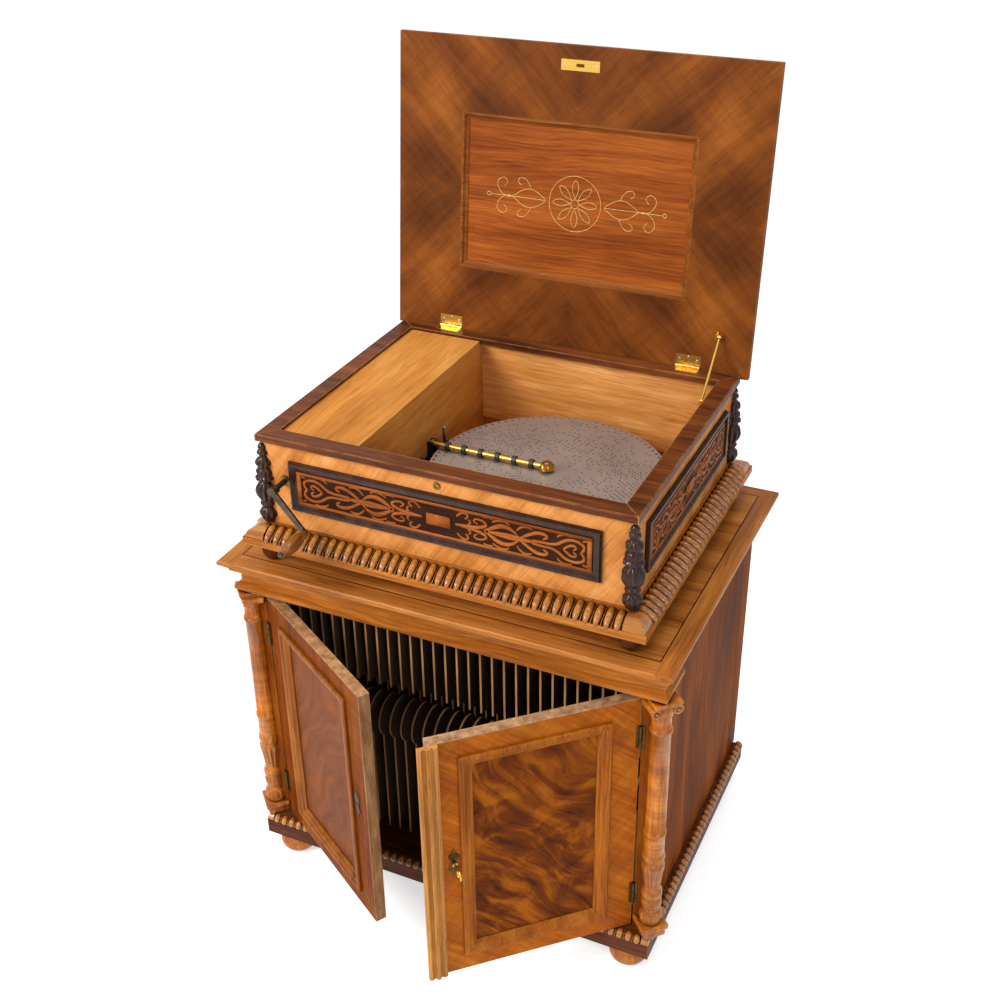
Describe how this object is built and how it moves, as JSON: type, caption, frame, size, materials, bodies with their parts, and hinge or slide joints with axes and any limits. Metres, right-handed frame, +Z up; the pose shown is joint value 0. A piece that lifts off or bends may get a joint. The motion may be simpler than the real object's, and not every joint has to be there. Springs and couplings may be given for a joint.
{
  "type": "disc music box",
  "caption": "Hand-wound disc music box with carved walnut case and open lid, on its matching cabinet with two doors and upright disc dividers.",
  "frame": {"origin": "on the floor, under the middle of the stand's top board", "axes": "+Z up, -Y towards the front with the doors and the crank, +X to the viewer's right"},
  "size_m": [0.914, 0.9333, 1.5849],
  "materials": {
    "walnut": "satin",
    "dark_walnut": "satin",
    "ebonised_wood": "gloss",
    "veneer": "satin",
    "burl_veneer": "gloss",
    "honey_wood": "satin",
    "carved_wood": "satin",
    "gadroon_wood": "gloss",
    "divider_board": "matt",
    "brass": "polished",
    "bright_steel": "polished",
    "tin_disc": "satin",
    "cast_iron": "painted",
    "roller_black": "satin"
  },
  "bodies": {
    "stand_and_case": {"cabinet_feet": "dark_walnut", "plinth_frame": "dark_walnut", "plinth_beads": "gadroon_wood", "cabinet_sides": "walnut", "cabinet_back": "dark_walnut", "cabinet_shelves": "honey_wood", "disc_dividers": "divider_board", "cabinet_top": "walnut", "cabinet_cornice": "walnut", "cabinet_columns": "walnut", "corner_posts": "walnut", "post_hinges": "brass", "box_feet": "dark_walnut", "base_moulding": "dark_walnut", "base_gadroons": "gadroon_wood", "corner_blocks": "gadroon_wood", "sound_board": "honey_wood", "case_walls": "honey_wood", "case_rim": "dark_walnut", "compartment_partition": "honey_wood", "compartment_cover": "honey_wood", "corner_columns": "ebonised_wood", "panel_frames": "ebonised_wood", "carved_panels": "carved_wood", "front_fittings": "brass", "rim_fittings": "brass", "motor_plates": "cast_iron", "bedplate": "cast_iron", "combs": "bright_steel"},
    "left_door": {"left_door_frame": "veneer", "left_door_panel": "burl_veneer", "left_door_moulding": "walnut", "left_door_brass": "brass"},
    "right_door": {"right_door_frame": "veneer", "right_door_panel": "burl_veneer", "right_door_moulding": "walnut", "right_door_brass": "brass", "door_astragal": "walnut", "door_lock_case": "bright_steel"},
    "door_key": {"door_key": "brass"},
    "lock_bolt": {"door_lock_bolt": "bright_steel"},
    "lid": {"lid_frame": "veneer", "lid_panel": "carved_wood", "lid_moulding": "dark_walnut", "lid_fittings": "brass"},
    "stay": {"lid_stay": "brass"},
    "crank": {"crank": "bright_steel"},
    "handle": {"crank_handle": "dark_walnut"},
    "winding_wheel": {"winding_wheel": "bright_steel"},
    "spring_barrel": {"spring_barrel": "brass"},
    "lay_shaft": {"lay_shaft": "bright_steel"},
    "sprocket": {"sprocket": "bright_steel"},
    "governor": {"governor": "brass"},
    "star_wheels": {"star_wheels": "brass"},
    "tune_disc": {"tune_disc": "tin_disc"},
    "pressure_bar": {"pressure_bar": "brass"},
    "rollers": {"bar_rollers": "roller_black"},
    "centre_latch": {"centre_latch": "brass"},
    "start_lever": {"start_lever": "bright_steel"}
  },
  "joints": [
    {"name": "left_door", "type": "hinge", "parent": "stand_and_case", "child": "left_door", "pos_m": [-0.384, -0.287, 0.375], "axis": [0, 0, -1], "range_deg": [-32, 73]},
    {"name": "right_door", "type": "hinge", "parent": "stand_and_case", "child": "right_door", "pos_m": [0.384, -0.287, 0.375], "axis": [0, 0, 1], "range_deg": [-43, 62]},
    {"name": "door_key", "type": "hinge", "parent": "right_door", "child": "door_key", "pos_m": [0.12891, -0.52078, 0.3755], "axis": [-0.682, 0.7314, 0], "range_deg": [0, 95]},
    {"name": "lock_bolt", "type": "slide", "parent": "right_door", "child": "lock_bolt", "axis": [-0.7314, -0.682, 0], "range_m": [0, 0.008]},
    {"name": "lid", "type": "hinge", "parent": "stand_and_case", "child": "lid", "pos_m": [0, 0.287, 1.0103], "axis": [1, 0, 0], "range_deg": [0, 96.2]},
    {"name": "lid_stay", "type": "hinge", "parent": "lid", "child": "stay", "pos_m": [0.317, 0.28602, 1.08182], "axis": [1, 0, 0], "range_deg": [-137, 0]},
    {"name": "crank", "type": "hinge", "parent": "stand_and_case", "child": "crank", "pos_m": [-0.312, -0.323, 0.922], "axis": [0, 1, 0], "continuous": true},
    {"name": "crank_handle", "type": "hinge", "parent": "crank", "child": "handle", "pos_m": [-0.25094, -0.352, 0.85], "axis": [0, 1, 0], "continuous": true},
    {"name": "winding_wheel", "type": "hinge", "parent": "stand_and_case", "child": "winding_wheel", "pos_m": [-0.262, -0.14, 0.88], "axis": [0, 1, 0], "continuous": true},
    {"name": "disc_spin", "type": "hinge", "parent": "stand_and_case", "child": "tune_disc", "pos_m": [0.09, -0.018, 0.895], "axis": [0, 0, 1], "continuous": true},
    {"name": "sprocket", "type": "hinge", "parent": "stand_and_case", "child": "sprocket", "pos_m": [-0.15, -0.018, 0.86762], "axis": [1, 0, 0], "continuous": true},
    {"name": "lay_shaft", "type": "hinge", "parent": "stand_and_case", "child": "lay_shaft", "pos_m": [-0.20329, -0.1, 0.86762], "axis": [0, 1, 0], "continuous": true},
    {"name": "spring_barrel", "type": "hinge", "parent": "stand_and_case", "child": "spring_barrel", "pos_m": [-0.262, -0.14, 0.88], "axis": [0, 1, 0], "continuous": true},
    {"name": "governor", "type": "hinge", "parent": "stand_and_case", "child": "governor", "pos_m": [-0.262, -0.1, 0.94], "axis": [0, 1, 0], "continuous": true},
    {"name": "star_wheels", "type": "hinge", "parent": "stand_and_case", "child": "star_wheels", "pos_m": [-0.024, -0.018, 0.8845], "axis": [1, 0, 0], "continuous": true},
    {"name": "pressure_bar", "type": "hinge", "parent": "stand_and_case", "child": "pressure_bar", "pos_m": [-0.15, -0.018, 0.9045], "axis": [0, -1, 0], "range_deg": [0, 21]},
    {"name": "rollers", "type": "hinge", "parent": "pressure_bar", "child": "rollers", "pos_m": [-0.02, -0.018, 0.9045], "axis": [1, 0, 0], "continuous": true},
    {"name": "centre_latch", "type": "hinge", "parent": "pressure_bar", "child": "centre_latch", "pos_m": [0.09, -0.018, 0.9045], "axis": [0, 0, 1], "range_deg": [0, 90]},
    {"name": "start_lever", "type": "hinge", "parent": "stand_and_case", "child": "start_lever", "pos_m": [-0.149, 0.032, 0.8603], "axis": [0, 1, 0], "range_deg": [0, 5]}
  ],
  "couplings": [
    {"joint": "winding_wheel", "follows": "crank", "ratio": -0.22222},
    {"joint": "sprocket", "follows": "disc_spin", "ratio": 8},
    {"joint": "lay_shaft", "follows": "disc_spin", "ratio": 8},
    {"joint": "spring_barrel", "follows": "disc_spin", "ratio": -2},
    {"joint": "governor", "follows": "disc_spin", "ratio": 8},
    {"joint": "lid_stay", "follows": "lid", "ratio": -1.422},
    {"joint": "door_key", "follows": "lock_bolt", "rad_per_m": 196.35}
  ]
}
